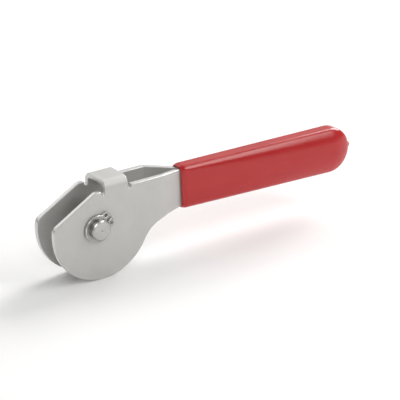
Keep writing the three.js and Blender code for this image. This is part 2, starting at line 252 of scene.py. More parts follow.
@dataclass
class Skin:
    """The grids and fills of one piece, gathered in millimetres until they become a mesh."""

    points: list[Array] = field(default_factory=list)
    blanks: list[Array] = field(default_factory=list)
    rims: list[Array] = field(default_factory=list)
    faces: list[list[int]] = field(default_factory=list)
    corners: list[Array] = field(default_factory=list)
    count: int = 0

    def add(self, points: Array, faces: Array, laid: Array, blank: Array, rim: Array) -> None:
        """Takes in points and faces.

        Args:
            points: (n, 3) places.
            faces: (k, 3) or (k, 4) indices into them.
            laid: place of each face's corners on the unrolled surface.
            blank: (n, 3) places on the flat sheet, before any fold.
            rim: (n,) 1 on cut edges and 0 on faces.
        """
        self.faces.extend((faces + self.count).tolist())
        self.corners.append(laid.reshape(-1, 2))
        self.points.append(points)
        self.blanks.append(blank)
        self.rims.append(rim)
        self.count += len(points)

    def grid(self, points: Array, rim: Array | float = 0.0, blank: Array | None = None,
             closed: bool = False) -> None:
        """Takes in a surface of two parameters.

        Args:
            points: (m, n, 3) places.
            rim: one value, or one per column.
            blank: (m, n, 3) places on the flat sheet, where the piece was ever flat.
            closed: whether the last row runs on to the first.
        """
        m, n = points.shape[:2]
        index = np.arange(m * n).reshape(m, n)
        if closed:
            index = np.vstack([index, index[:1]])
        run = np.linalg.norm(np.diff(points, axis=1), axis=2).mean(axis=0)
        v = np.concatenate([[0], np.cumsum(run)]) / UNROLLED
        laid = np.stack(np.meshgrid(np.arange(len(index)) / m, v, indexing="ij"), axis=-1)
        marks = np.broadcast_to(np.asarray(rim, float), (m, n)).reshape(-1)
        flat = points if blank is None else blank
        self.add(points.reshape(-1, 3), quads(index), quads(laid), flat.reshape(-1, 3), marks)

    def build(self, name: str, shift: Array) -> Piece:
        """Makes the mesh: merges doubles, turns faces outward and shades it smooth.

        Args:
            name: the piece's name.
            shift: from the head's centre to the model's frame, in millimetres.

        Returns:
            The object, with its place in its mesh.
        """
        mesh = bpy.data.meshes.new(name)
        places = (np.concatenate(self.points) + shift) * MM
        mesh.from_pydata(places.tolist(), [], self.faces)
        layer = mesh.uv_layers.new(name="unrolled")
        layer.data.foreach_set("uv", np.concatenate(self.corners).astype(np.float32).ravel())
        rim = mesh.attributes.new("rim", "FLOAT", "POINT")
        rim.data.foreach_set("value", np.concatenate(self.rims).astype(np.float32))
        blank = mesh.attributes.new("blank", "FLOAT_VECTOR", "POINT")
        blank.data.foreach_set("vector", (np.concatenate(self.blanks) * MM).astype(np.float32).ravel())
        work = bmesh.new()
        work.from_mesh(mesh)
        bmesh.ops.remove_doubles(work, verts=work.verts, dist=MERGE_WITHIN)
        bmesh.ops.dissolve_degenerate(work, edges=work.edges, dist=1e-7)
        bmesh.ops.recalc_face_normals(work, faces=work.faces)
        open_edges = sum(1 for e in work.edges if not e.is_manifold)
        work.to_mesh(mesh)
        work.free()
        mesh.polygons.foreach_set("use_smooth", np.ones(len(mesh.polygons), bool))
        mesh.update()
        LOG.info("%s: %d faces, %d open edges", name, len(mesh.polygons), open_edges)
        return linked(name, mesh)


@dataclass(frozen=True)
class EdgeRound:
    """The small round that tumbling leaves along both corners of a sheet's cut edge."""

    thickness: float
    radius: float
    steps: int = 4
    margin: float = 0.08

    def profile(self) -> tuple[Array, Array]:
        """Inset from the outline and depth from the face, from one face to the other.

        Formula: a narrow margin, then inset r (1 - sin q) and depth r (1 - cos q), then the same mirrored
        about half the thickness.

        Returns:
            The insets and the depths.
        """
        q = np.linspace(0, math.pi / 2, self.steps + 1)
        inset = np.concatenate([[self.radius + self.margin], self.radius * (1 - np.sin(q))])
        depth = np.concatenate([[0.0], self.radius * (1 - np.cos(q))])
        return (np.concatenate([inset, inset[::-1]]),
                np.concatenate([depth, self.thickness - depth[::-1]]))


def plate_skin(outline: Array, holes: list[Array], edge: EdgeRound, fold: Fold,
               creases: list[Array]) -> Skin:
    """A sheet with a rounded edge, folded.

    Formula: outline + inset times normal at each depth of the edge's profile; the faces are one flat
    triangulation of what the insets leave; then every point is folded.

    Args:
        outline: counter-clockwise outline of the flat blank.
        holes: clockwise outlines of its holes.
        edge: the sheet's edge.
        fold: takes (n, 3) points of the blank to their places.
        creases: rows of points for the faces' triangles to follow.

    Returns:
        The piece's skin.
    """
    skin = Skin()
    inset, depth = edge.profile()
    marks = np.where((inset < edge.radius * 0.999) | (depth == edge.radius), 1.0, 0.0)
    kept = []
    for loop in [outline, *holes]:
        flat = loop[:, None] + left_normals(loop)[:, None] * inset[None, :, None]
        rim = np.dstack([flat, np.broadcast_to(depth, flat.shape[:2])])
        skin.grid(fold(rim.reshape(-1, 3)).reshape(rim.shape), marks, rim, closed=True)
        kept.append(flat[:, 0])
    coords, sides = [], []
    start = 0
    for loop in kept:
        ids = np.arange(len(loop)) + start
        sides.extend(np.stack([ids, np.roll(ids, -1)], axis=1).tolist())
        coords.append(loop)
        start += len(loop)
    for row in creases:
        row = row[inside(row, kept)]
        coords.append(row)
        start += len(row)
    found, _, triangles, *_ = delaunay_2d_cdt(
        [Vector(p) for p in np.concatenate(coords).tolist()], sides, [], 0, 1e-5)
    flat = np.array(found)
    triangles = np.array(triangles)
    triangles = triangles[inside(flat[triangles].mean(axis=1), kept)]
    for level, turned in ((0.0, False), (edge.thickness, True)):
        blank = np.column_stack([flat, np.full(len(flat), level)])
        faces = triangles[:, ::-1] if turned else triangles
        skin.add(fold(blank), faces, flat[faces] / UNROLLED, blank, np.zeros(len(flat)))
    return skin


def turned_skin(path: Array, centre: Pair, rows: int = 120) -> Skin:
    """A piece turned on a lathe about the Y axis.

    Formula: (cx + r cos a, y, cz + r sin a) for every (r, y) of the path and every a of a full turn.

    Args:
        path: (n, 2) radius and place along the axis.
        centre: x and z of the axis.
        rows: steps round the turn.

    Returns:
        The piece's skin.
    """
    a = np.linspace(0, 2 * math.pi, rows, endpoint=False)[:, None]
    radius, along = path[None, :, 0], path[None, :, 1]
    points = np.stack([
        centre[0] + radius * np.cos(a), along + 0 * a, centre[1] + radius * np.sin(a)], axis=-1)
    skin = Skin()
    skin.grid(points, closed=True)
    return skin


def fine(path: Array, near: float = 0.12, long: float = 0.3) -> Array:
    """A path with a point added near both ends of every long side, so that flats stay flat.

    Formula: p + (q - p) t and q - (q - p) t for a side from p to q, with t = min(near / length, long).

    Args:
        path: (n, 2) points.
        near: how far the new points stand from a side's ends.
        long: length from which a side is long, and the most that t may be.

    Returns:
        One point per row.
    """
    step = np.diff(path, axis=0)
    length = np.linalg.norm(step, axis=1, keepdims=True)
    share = np.minimum(near / np.maximum(length, 1e-9), long)
    rows = np.stack([path[:-1], path[:-1] + step * share, path[1:] - step * share], axis=1)
    keep = np.column_stack([np.ones(len(length), bool), length > long, length > long])
    return np.concatenate([rows[keep], path[-1:]])


# ---- finishes


class Lay(Enum):
    """The way tool marks run over a metal surface."""

    ROLLED = "lines along the flat sheet"
    TURNED = "rings round the axle"
    TUMBLED = "no direction"


class Nodes:
    """A material's node tree, with short calls for the nodes that the finishes need."""

    SHARE = 0
    NUMBERS, NUMBER = (2, 3), 0
    COLOURS, COLOUR = (6, 7), 2

    def __init__(self, name: str) -> None:
        """Starts an empty material with a shader and an output.

        Args:
            name: the material's name.
        """
        self.material = bpy.data.materials.new(name)
        self.material.use_nodes = True
        self.tree = self.material.node_tree
        self.tree.nodes.clear()
        self.shader = self.add("ShaderNodeBsdfPrincipled")
        self.add("ShaderNodeOutputMaterial", {"Surface": self.shader.outputs["BSDF"]})

    def put(self, node: Node, inputs: Inputs) -> Node:
        """Sets a node's inputs.

        Args:
            node: the node.
            inputs: a value for each input, or a socket to link it to.

        Returns:
            The node.
        """
        for key, value in inputs.items():
            if isinstance(value, Socket):
                self.tree.links.new(value, node.inputs[key])
            else:
                node.inputs[key].default_value = value
        return node

    def add(self, kind: str, inputs: Inputs | None = None, **settings: object) -> Node:
        """Adds a node.

        Args:
            kind: its type name.
            inputs: a value for each input, or a socket to link it to.
            settings: its own properties.

        Returns:
            The node.
        """
        node = self.tree.nodes.new(kind)
        for key, value in settings.items():
            setattr(node, key, value)
        return self.put(node, inputs or {})

    def noise(self, place: Socket, scale: float, detail: float, rough: float = 0.5) -> Socket:
        """Cloudy noise, from 0 to 1, at a scale per metre."""
        return self.add("ShaderNodeTexNoise", {
            "Vector": place, "Scale": scale, "Detail": detail, "Roughness": rough}).outputs["Fac"]

    def spread(self, value: Socket, low: float, high: float, to_low: float, to_high: float) -> Socket:
        """Maps low..high of a value to to_low..to_high, and holds it there."""
        return self.add("ShaderNodeMapRange", {
            "Value": value, "From Min": low, "From Max": high, "To Min": to_low, "To Max": to_high,
        }).outputs["Result"]

    def sum(self, first: Socket, second: Socket, share: float) -> Socket:
        """first + share times second."""
        return self.add(
            "ShaderNodeMath", {0: second, 1: share, 2: first}, operation="MULTIPLY_ADD").outputs[0]

    def blend(self, share: Socket, first: Socket | Colour, second: Colour) -> Socket:
        """Runs from the first colour to the second as the share goes from 0 to 1."""
        start = (*first, 1) if isinstance(first, tuple) else first
        return self.add("ShaderNodeMix", dict(zip((self.SHARE, *self.COLOURS), (share, start, (*second, 1)))),
                        data_type="RGBA").outputs[self.COLOUR]

    def fade(self, share: Socket, first: Socket, second: float) -> Socket:
        """Runs from the first number to the second as the share goes from 0 to 1."""
        return self.add("ShaderNodeMix", dict(zip((self.SHARE, *self.NUMBERS), (share, first, second))),
                        data_type="FLOAT").outputs[self.NUMBER]

    def stretched(self, place: Socket, scale: Place, origin: Place = (0, 0, 0)) -> Socket:
        """scale times (place - origin), along each axis."""
        location = tuple(-o * k for o, k in zip(origin, scale))
        return self.add("ShaderNodeMapping", {
            "Vector": place, "Scale": scale, "Location": location}).outputs["Vector"]

    def bump(self, height: Socket, depth: float) -> None:
        """Lets a height from 0 to 1 stand up by a depth in millimetres."""
        node = self.add("ShaderNodeBump", {"Strength": 1.0, "Distance": depth * MM, "Height": height})
        self.put(self.shader, {"Normal": node.outputs["Normal"]})


@dataclass(frozen=True)
class MetalFinish:
    """Bare metal: two close tones that drift into each other, tool marks, faint scuffs, and edges lightened
    by wear and a painted highlight.
    """

    name: str
    tone: Colour
    worn_tone: Colour
    # lighter colour of the cut edges: worn metal and a painted highlight
    edge_wear_and_highlight_tone: Colour
    roughness: Pair
    lay: Lay
    edge_roughness: float = 0.2
    metallic: float = 1.0
    mark_width: float = 0.12
    mark_depth: float = 0.004
    cloud_size: float = 9.0
    scuff: float = 0.3
    scuff_stretch: Place = (90, 90, 900)
    anisotropic: float = 0.0

    def marks(self, nodes: Nodes, place: Socket, axis: Place) -> Socket:
        """Fine tool marks along the finish's lay.

        Args:
            nodes: the material being made.
            place: where on the piece.
            axis: a point of the axle's axis, in metres.

        Returns:
            The marks' height, from 0 to 1.
        """
        pitch = 1 / (self.mark_width * MM)
        if self.lay is Lay.ROLLED:
            return nodes.noise(nodes.stretched(place, (pitch / 40, pitch, pitch)), 1.0, 3.0)
        if self.lay is Lay.TUMBLED:
            return nodes.noise(place, pitch / 2, 4.0)
        along = nodes.add("ShaderNodeSeparateXYZ", {0: nodes.stretched(place, (1, 1, 1), axis)})
        radius = nodes.add(
            "ShaderNodeVectorMath", {0: nodes.stretched(place, (1, 0, 1), axis)}, operation="LENGTH")
        ring = nodes.add("ShaderNodeCombineXYZ", {
            "X": radius.outputs["Value"], "Y": along.outputs["Y"]})
        return nodes.noise(ring.outputs[0], pitch, 3.0)

    def material(self, axis: Place, on_blank: bool = False) -> bpy.types.Material:
        """Makes the finish's material.

        Args:
            axis: a point of the axle's axis, in metres.
            on_blank: whether the marks follow the flat blank through its folds.

        Returns:
            The material.
        """
        nodes = Nodes(self.name)
        if on_blank:
            place = nodes.add("ShaderNodeAttribute", attribute_name="blank").outputs["Vector"]
        else:
            place = nodes.add("ShaderNodeTexCoord").outputs["Object"]
        cloud = nodes.noise(place, 1 / (self.cloud_size * MM), 4.0, 0.6)
        marks = self.marks(nodes, place, axis)
        scuffs = nodes.noise(nodes.stretched(place, self.scuff_stretch), 3.0, 5.0, 0.7)
        worn = nodes.spread(nodes.sum(cloud, scuffs, self.scuff), 0.45, 0.95, 0.0, 1.0)
        rim = nodes.add("ShaderNodeAttribute", attribute_name="rim").outputs["Fac"]
        # the cut edges take the lighter edge colour, partly wear and partly a painted highlight, and their
        # own roughness
        edge_wear_and_highlight = nodes.spread(nodes.sum(rim, cloud, 0.4), 0.5, 1.2, 0.0, 1.0)
        tone = nodes.blend(edge_wear_and_highlight, nodes.blend(worn, self.tone, self.worn_tone), self.edge_wear_and_highlight_tone)
        rough = nodes.spread(nodes.sum(cloud, marks, 0.5), 0.4, 1.1, *self.roughness)
        nodes.put(nodes.shader, {
            "Base Color": tone, "Metallic": self.metallic,
            "Roughness": nodes.fade(edge_wear_and_highlight, rough, self.edge_roughness)})
        if self.anisotropic:
            tangent = nodes.add("ShaderNodeTangent", direction_type="UV_MAP", uv_map="unrolled")
            nodes.put(nodes.shader, {"Anisotropic": self.anisotropic, "Tangent": tangent.outputs[0]})
        nodes.bump(nodes.sum(marks, cloud, 1.5), self.mark_depth)
        return nodes.material


@dataclass(frozen=True)
class VinylFinish:
    """Dip-moulded vinyl: a glossy red skin with a faint orange peel, soft streaks and a few small pits."""

    name: str
    deep: Colour
    bright: Colour
    roughness: Pair
    specular: float
    streak_stretch: Place = (25, 80, 110)
    peel_size: float = 1.6
    peel_depth: float = 0.012
    pit_size: float = 5.0
    pit_rim: Pair = (0.015, 0.035)
    pit_tone: Colour = (0.6, 0.16, 0.14)

    def material(self) -> bpy.types.Material:
        """Makes the finish's material.

        Returns:
            The material.
        """
        nodes = Nodes(self.name)
        place = nodes.add("ShaderNodeTexCoord").outputs["Object"]
        streaks = nodes.noise(nodes.stretched(place, self.streak_stretch), 1.0, 4.0, 0.6)
        peel = nodes.noise(place, 1 / (self.peel_size * MM), 3.0)
        pits = nodes.add(
            "ShaderNodeTexVoronoi", {"Vector": place, "Scale": 1 / (self.pit_size * MM)}, feature="F1")
        pit = nodes.spread(pits.outputs["Distance"], *self.pit_rim, 1.0, 0.0)
        tone = nodes.blend(nodes.spread(streaks, 0.3, 0.7, 0.0, 1.0), self.deep, self.bright)
        nodes.put(nodes.shader, {
            "Base Color": nodes.blend(nodes.spread(pit, 0.0, 1.0, 0.0, 0.35), tone, self.pit_tone),
            "Roughness": nodes.spread(nodes.sum(streaks, peel, 0.6), 0.5, 1.1, *self.roughness),
            "Specular IOR Level": self.specular})
        nodes.bump(nodes.sum(peel, pit, -2.0), self.peel_depth)
        return nodes.material


# each metal's third colour is its cut edges' colour, lighter than the rest: partly wear, partly a painted
# highlight
SATIN_STAINLESS = MetalFinish(
    "satin_stainless", (0.53, 0.527, 0.513), (0.58, 0.577, 0.563), (0.66, 0.657, 0.645),
    (0.48, 0.58), Lay.ROLLED, metallic=0.45)
TURNED_STEEL = MetalFinish(
    "turned_steel", (0.42, 0.415, 0.40), (0.52, 0.515, 0.50), (0.60, 0.595, 0.58),
    (0.20, 0.32), Lay.TURNED, mark_width=0.16, mark_depth=0.006, anisotropic=0.75)
SPRING_STEEL = MetalFinish(
    "spring_steel", (0.32, 0.315, 0.305), (0.44, 0.43, 0.42), (0.80, 0.79, 0.77),
    (0.24, 0.36), Lay.TUMBLED)
TOOL_STEEL = MetalFinish(
    "tool_steel", (0.38, 0.385, 0.39), (0.50, 0.50, 0.50), (0.6, 0.6, 0.6),
    (0.18, 0.30), Lay.TURNED, mark_width=0.2)
BRONZE = MetalFinish(
    "bush_bronze", (0.36, 0.28, 0.19), (0.45, 0.36, 0.25), (0.55, 0.45, 0.32),
    (0.34, 0.48), Lay.TURNED)
RED_VINYL = VinylFinish(
    "red_vinyl", (0.42, 0.009, 0.011), (0.47, 0.014, 0.015), (0.19, 0.27), 0.5)


# ---- the frame


@dataclass
class Frame:
    """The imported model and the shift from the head's centre to its frame."""

    axle_ahead: float = 3.0

    def __post_init__(self) -> None:
        """Loads the model and finds the axle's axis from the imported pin."""
        self.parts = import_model()
        self.cad_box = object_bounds()
        low, high = (np.array(corner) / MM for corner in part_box("axle_pin"))
        self.axis = (low + high) / 2
        self.shift = self.axis + np.array([self.axle_ahead, 0.0, 0.0])
        LOG.info("model loaded; the axle is at x %.3f mm and z %.3f mm", self.axis[0], self.axis[2])

    @property
    def axis_point(self) -> Place:
        """A point of the axle's axis, in metres."""
        return tuple(float(v) * MM for v in self.axis)

    @property
    def axle_centre(self) -> Pair:
        """X and Z of the axle's axis about the middle of the head."""
        return (-self.axle_ahead, 0.0)

    def fit(self, skin: Skin, name: str, body: str, slot: str, finish: bpy.types.Material) -> Piece:
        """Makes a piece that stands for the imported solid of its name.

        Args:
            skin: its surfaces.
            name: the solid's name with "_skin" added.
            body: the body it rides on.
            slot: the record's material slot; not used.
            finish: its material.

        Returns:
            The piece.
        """
        made = skin.build(name, self.shift)
        made.data.materials.append(finish)
        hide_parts(made.name.removesuffix("_skin"))
        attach(made, body)
        LOG.info("%s rides on %s", made.name, body)
        return made

    def write_sizes(self) -> None:
        """Works out the model's box and the finished pieces' box."""
        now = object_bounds()
        sizes = {"cad": [list(corner) for corner in self.cad_box], "visual": [list(corner) for corner in now]}


# ---- head yoke


@dataclass
class HeadYoke:
    """Two round plates, the bridge between them and the arms, folded from one blank of sheet."""

    frame: Frame
    sheet: float = 2.5
    plate_gap: float = 12.0
    head_radius: float = 26.0
    register_distance: float = 16.6
    register_angle: float = 119.8
    top_edge: float = 17.1
    chin_radius: float = 3.5
    brow_radius: float = 4.0
    neck_radius: float = 15.5
    bridge_start: float = 1.5
    bridge_length: float = 12.5
    bridge_top: float = 21.4
    bridge_bend: float = 4.0
    notch_width: float = 1.9
    notch_depth: float = 1.9
    arm_bend_x: float = 32.3
    arm_bend_angle: float = 22.6
    arm_bend_inside: float = 3.0
    arm_underside: float = -3.8
    leaf_slit: float = 0.3
    tang_top_at_mouth: float = 14.9
    tang_top_at_end: float = 13.6
    tang_bottom_at_end: float = -6.6
    tang_end_x: float = 136.9
    hole_radius: float = 5.1
    edge_radius: float = 0.33
    notch_corner: float = 0.45
    crease_points: int = 24
    arm_steps: int = 6
    bridge_steps: int = 12

    def __post_init__(self) -> None:
        """Works out where the folds start and end."""
        self.half_gap = self.plate_gap / 2
        self.outer = self.half_gap + self.sheet
        self.bend_foot = self.bridge_top - self.bridge_bend
        self.bend_run = (self.bridge_bend - self.sheet / 2) * math.pi / 2
        self.fold_line = self.bend_foot + self.bend_run + self.outer - self.bridge_bend
        angle = math.radians(self.arm_bend_angle)
        self.middle_radius = self.arm_bend_inside + self.sheet / 2
        self.arm_end_x = self.arm_bend_x + (self.half_gap - self.leaf_slit / 2) / math.tan(angle)
        reach = math.tan(angle / 2)
        self.first_bend = self.arm_bend_x - self.arm_bend_inside * reach
        self.last_bend = self.arm_end_x + (self.arm_bend_inside + self.sheet) * reach

    def half_outline(self) -> Array:
        """One leaf of the blank, from the fold line round the leaf and back up to it.

        Formula: tangent circles and straight sides. A circle of radius c inside the round R, touching the
        straight front edge at distance d, stands acos((d - c) / (R - c)) from that edge's normal; the neck's
        circle stands R + n from the middle.

        Returns:
            One point per row.
        """
        radius, face = self.head_radius, math.radians(self.register_angle)
        brow_x = (self.register_distance - self.top_edge * math.sin(face)) / math.cos(face)
        brow_x += self.brow_radius * math.tan((face - math.pi / 2) / 2)
        chin_angle = self.register_angle + math.degrees(
            math.acos((self.register_distance - self.chin_radius) / (radius - self.chin_radius)))
        neck_z = self.arm_underside - self.neck_radius
        neck_x = math.sqrt((radius + self.neck_radius) ** 2 - neck_z**2)
        neck_angle = math.degrees(math.atan2(neck_z, neck_x))
        end_z = (self.tang_top_at_end + self.tang_bottom_at_end) / 2
        end_radius = (self.tang_top_at_end - self.tang_bottom_at_end) / 2
        top, width = self.top_edge, self.notch_width
        left, right = self.bridge_start, self.bridge_start + self.bridge_length
        notch_z = top - self.notch_depth + width / 2
        corner = self.notch_corner
        run = [
            np.array([[left, self.fold_line], [left, self.bend_foot]]),
            arc((left - width / 2, notch_z), width / 2, 0, -180, 15),
            arc((left - width - corner, top - corner), corner, 0, 90, 15),
            arc((brow_x, top - self.brow_radius), self.brow_radius, 90, self.register_angle),
            arc(polar(radius - self.chin_radius, chin_angle), self.chin_radius,
                self.register_angle, chin_angle),
            arc((0, 0), radius, chin_angle, 360 + neck_angle, 2.5),
            arc((neck_x, neck_z), self.neck_radius, 180 + neck_angle, 90, 3),
            rounded_path([
                (neck_x, self.arm_underside, 0), (self.arm_end_x, self.arm_underside, 30),
                (self.tang_end_x, self.tang_bottom_at_end, 0)]),
            arc((self.tang_end_x, end_z), end_radius, -90, 90),
            rounded_path([
                (self.tang_end_x, self.tang_top_at_end, 0), (self.arm_end_x, self.tang_top_at_mouth, 14),
                (self.arm_bend_x, top, 14), (right + width + corner, top, 0)]),
            arc((right + width + corner, top - corner), corner, 90, 180, 15),
            arc((right + width / 2, notch_z), width / 2, 0, -180, 15),
            np.array([[right, self.bend_foot], [right, self.fold_line]]),
        ]
        return np.concatenate(run)

    def fold(self, blank: Array) -> Array:
        """Folds points of the flat blank into the finished yoke.

        Formula: s is the distance up the leaf, mirrored beyond the fold line. Below the bend's foot a point
        stands at (x, s); through the bend it turns by a = (s - foot) / middle radius; beyond it lies flat.
        The arms lean by the angle whose sine is the distance into a bend over its middle radius, and depth
        is laid off along the leaning normal.

        Args:
            blank: (n, 3) x, height up the blank and depth from the outer face.

        Returns:
            (n, 3) places about the middle of the head.
        """
        x, up, depth = blank.T
        side = np.where(up <= self.fold_line, 1.0, -1.0)
        s = self.fold_line - np.abs(up - self.fold_line)
        a = np.clip((s - self.bend_foot) / (self.bridge_bend - self.sheet / 2), 0, math.pi / 2)
        reach = self.bridge_bend - depth
        past = np.maximum(s - self.bend_foot - self.bend_run, 0)
        y_bridge = -(self.outer - self.bridge_bend) - reach * np.cos(a) + past
        z = np.minimum(s, self.bend_foot) + reach * np.sin(a)
        first, last, radius = self.first_bend, self.last_bend, self.middle_radius
        most = math.radians(self.arm_bend_angle)
        span = radius * math.sin(most)
        into = np.arcsin(np.clip(x - first, 0, span) / radius)
        out_of = np.arcsin(np.clip(last - x, 0, span) / radius)
        lean = np.minimum(into, out_of)
        straight = np.clip(x - first - span, 0, last - first - 2 * span)
        shift = (radius * (1 - np.cos(into)) + straight * math.tan(most)
                 + np.where(x > (first + last) / 2, radius * (np.cos(out_of) - math.cos(most)), 0))
        normal = depth - self.sheet / 2
        y_leaf = -self.outer + self.sheet / 2 + shift + normal * np.cos(lean)
        y = np.where(s > self.bend_foot, y_bridge, y_leaf)
        return np.stack([x - normal * np.sin(lean), side * y, z], axis=1)

    def creases(self) -> list[Array]:
        """Rows of points along the folds: up the leaves at the arms' bends, and along the bridge's.

        Returns:
            One array of points for each row.
        """
        rows = []
        heights = np.linspace(self.arm_underside + 0.9, self.top_edge - 0.7, self.crease_points)
        span = self.middle_radius * math.sin(math.radians(self.arm_bend_angle))
        steps = span * np.linspace(0, 1, self.arm_steps + 1)
        for x in [*(self.first_bend + steps), *(self.last_bend - steps)]:
            for up in (heights, 2 * self.fold_line - heights):
                rows.append(np.column_stack([np.full_like(up, x), up]))
        across = np.linspace(0.6, self.bridge_length - 0.6, self.crease_points) + self.bridge_start
        rises = self.bend_foot + self.bend_run * np.linspace(0, 1, self.bridge_steps + 1)
        for up in [*rises, *(2 * self.fold_line - rises), self.fold_line]:
            rows.append(np.column_stack([across, np.full_like(across, up)]))
        return rows

    def build(self) -> Piece:
        """Cuts the blank, folds it and dresses it.

        Returns:
            The piece.
        """
        half = self.half_outline()
        rises = np.linspace(self.bend_foot, self.bend_foot + self.bend_run, self.bridge_steps + 1)[1:]
        left = np.column_stack([np.full_like(rises, self.bridge_start), rises])[::-1]
        right = left[::-1] + [self.bridge_length, 0]
        half = np.concatenate([half[:1], left, half[1:-1], right, half[-1:]])
        other = half[::-1] * [1, -1] + [0, 2 * self.fold_line]
        outline = thinned(np.concatenate([half[:-1], other[:-1]]))
        holes = [arc((-self.frame.axle_ahead, height), self.hole_radius, 360, 0, 5)[:-1]
                 for height in (0, 2 * self.fold_line)]
        edge = EdgeRound(self.sheet, self.edge_radius)
        skin = plate_skin(outline, holes, edge, self.fold, self.creases())
        steel = SATIN_STAINLESS.material(self.frame.axis_point, on_blank=True)
        return self.frame.fit(skin, "head_yoke_skin", "head", "stainless_sheet", steel)


# ---- grip


@dataclass
class DippedGrip:
    """The vinyl sleeve over the tang: a soft slab with a round end, a thin lip and the drip at its tip."""

    frame: Frame
    mouth_x: float = 46.603
    end_x: float = 136.7
    end_z: float = 3.6
    end_radius: float = 11.5
    top_at_mouth: float = 16.4
    bottom_at_mouth: float = -5.3
    rim_flat_at_mouth: float = 1.7
    rim_flat_at_end: float = 2.1
    wall: float = 1.4
    corner: float = 2.6
    shoulder_angle: float = 28.0
    shoulder_at_mouth: float = 0.6
    shoulder_at_end: float = 10.5
    face_reach: float = 10.2
    nib_length: float = 2.4
    nib_radius: float = 2.6
    nib_y: float = -0.8
    nib_z: float = 3.9
    mouth_lean: float = 1.0
    mouth_lean_fade: float = 10.0
    mouth_taper: float = 0.4
    mouth_taper_run: float = 2.2
    fine_share: float = 0.06
    fine_angle: float = 12.5

    def path(self, growth: float) -> tuple[Array, Array]:
        """The slab's outline, from the mouth's top corner round the end to its bottom corner.

        Formula: straight top and bottom edges and a half circle; each point's partner on the spine lies
        straight below or above it, or at the half circle's centre.

        Args:
            growth: how far the outline stands outside the sleeve's own.

        Returns:
            (n, 2) outline and (n, 2) partners on the spine.
        """
        near = self.fine_share
        share = np.concatenate([np.linspace(0, near, 7)[:-1], np.linspace(near, 1, 60)])
        x = self.mouth_x + self.wall / 2 + share * (self.end_x - self.mouth_x - self.wall / 2)
        top = self.top_at_mouth + share * (self.end_z + self.end_radius - self.top_at_mouth)
        bottom = self.bottom_at_mouth + share * (self.end_z - self.end_radius - self.bottom_at_mouth)
        spine = np.column_stack([x, (top + bottom) / 2])
        tip = self.fine_angle
        turn = np.radians(np.concatenate([
            np.linspace(90, tip + 1.5, 36), np.linspace(tip, -tip, 41), np.linspace(-tip - 1.5, -90, 36)]))
        radius = self.end_radius + growth
        end = np.column_stack([self.end_x + radius * np.cos(turn), self.end_z + radius * np.sin(turn)])
        outline = np.concatenate([
            np.column_stack([x, top + growth])[:-1], end, np.column_stack([x, bottom - growth])[::-1][1:]])
        middle = np.broadcast_to([self.end_x, self.end_z], end.shape)
        return outline, np.concatenate([spine[:-1], middle, spine[::-1][1:]])

    def section(self, softness: Array, flat: Array, corner: float,
                angle: float) -> tuple[Array, Array]:
        """Half of the slab's section at every point of the outline, from the rim to the spine.

        Formula: past the rim's flat the tilt falls evenly from a quarter turn to the shoulder's angle round
        the corner, then fades over the softness; inset and height are running sums of its cosine and sine.

        Args:
            softness: (n,) length over which the shoulder fades.
            flat: (n,) half of the rim's flat.
            corner: radius of the corner.
            angle: tilt where the shoulder starts, in degrees.

        Returns:
            (n, m) inset from the rim and (n, m) distance from the slab's middle plane.
        """
        start = math.radians(angle)
        bend = corner * (math.pi / 2 - start)
        s_bend = np.linspace(0, bend, 12)
        s_fade = bend + np.linspace(0, 1, 26)[1:] ** 1.5 * self.face_reach
        s = np.concatenate([s_bend, s_fade])
        soft = softness[:, None]
        left = np.clip((bend + self.face_reach - s) / self.face_reach, 0, 1)[None]
        tilt = np.where(s[None] <= bend, math.pi / 2 - s[None] / corner,
                        start * np.exp(-np.maximum(s[None] - bend, 0) / soft) * np.sqrt(left))
        step = np.diff(s)[None]
        middle = (tilt[:, 1:] + tilt[:, :-1]) / 2
        inset = np.concatenate([np.zeros_like(soft), np.cumsum(np.cos(middle) * step, axis=1)], axis=1)
        out = np.concatenate([np.zeros_like(soft), np.cumsum(np.sin(middle) * step, axis=1)], axis=1)
        rim = np.linspace(0, 1, 7)[None, :-1] * flat[:, None]
        return (np.concatenate([np.zeros_like(rim), inset], axis=1),
                np.concatenate([rim, out + flat[:, None]], axis=1))

    def slab(self, growth: float, corner: float, angle: float) -> Array:
        """A soft slab, open at the mouth.

        Formula: outline + inset times the way to the spine, at the section's distance on either side.

        Args:
            growth: how far its outline stands outside the sleeve's own.
            corner: radius of its corners.
            angle: tilt where its shoulders start, in degrees.

        Returns:
            (n, m, 3) places, from the front spine over the rim to the rear spine.
        """
        outline, spine = self.path(growth)
        along = np.clip((outline[:, 0] - self.mouth_x) / (self.end_x - self.mouth_x), 0, 1)
        softness = self.shoulder_at_mouth + along * (self.shoulder_at_end - self.shoulder_at_mouth)
        flat = self.rim_flat_at_mouth + along * (self.rim_flat_at_end - self.rim_flat_at_mouth)
        inset, out = self.section(softness, flat, corner, angle)
        way = spine - outline
        reach = np.linalg.norm(way, axis=1, keepdims=True)
        inset = np.minimum(inset, reach * 0.98)
        place = outline[:, None] + (way / reach)[:, None] * inset[..., None]
        place = np.concatenate([place, spine[:, None]], axis=1)
        out = np.concatenate([out, out[:, -1:]], axis=1)
        front = np.dstack([place[..., 0], -out, place[..., 1]])[:, ::-1]
        rear = np.dstack([place[..., 0], out, place[..., 1]])
        return np.concatenate([front, rear[:, 1:]], axis=1)

    def drip(self, points: Array) -> Array:
        """Pulls the dried drip out of the end.

        Formula: x + length (1 - (d / radius)^2)^1.5, with d the distance from the drip's axis.

        Args:
            points: (..., 3) places.

        Returns:
            The moved places.
        """
        away = np.hypot(points[..., 1] - self.nib_y, points[..., 2] - self.nib_z)
        pull = self.nib_length * np.clip(1 - (away / self.nib_radius) ** 2, 0, 1) ** 1.5
        moved = points.copy()
        moved[..., 0] += np.where(points[..., 0] > self.end_x, pull, 0)
        return moved

